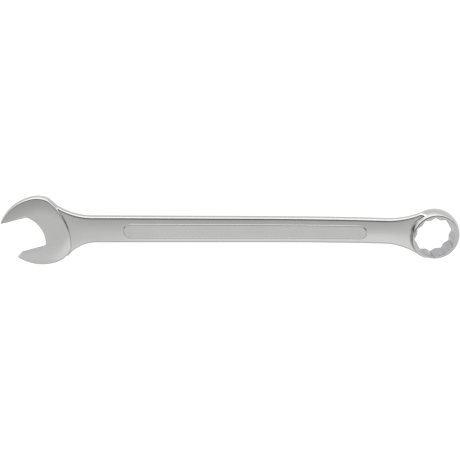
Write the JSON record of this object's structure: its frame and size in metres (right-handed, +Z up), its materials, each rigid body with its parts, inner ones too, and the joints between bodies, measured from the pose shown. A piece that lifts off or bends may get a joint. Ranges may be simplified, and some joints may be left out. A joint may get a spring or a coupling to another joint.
{
  "type": "combination wrench",
  "caption": "One-piece forged combination wrench: open end at 15 degrees, bowed handle with a raised panel, tilted 12-point ring with chamfered lead-ins, satin chrome.",
  "frame": {"origin": "middle of the wrench's box at the bench it rests on", "axes": "+X along the handle from the open end to the ring, +Y from the lower jaw towards the upper one, +Z up out of the face that shows the panel"},
  "size_m": [0.3072, 0.0484, 0.0219],
  "materials": {
    "satin_chrome": "satin"
  },
  "bodies": {
    "root": {"wrench_forging": "satin_chrome"}
  },
  "joints": []
}
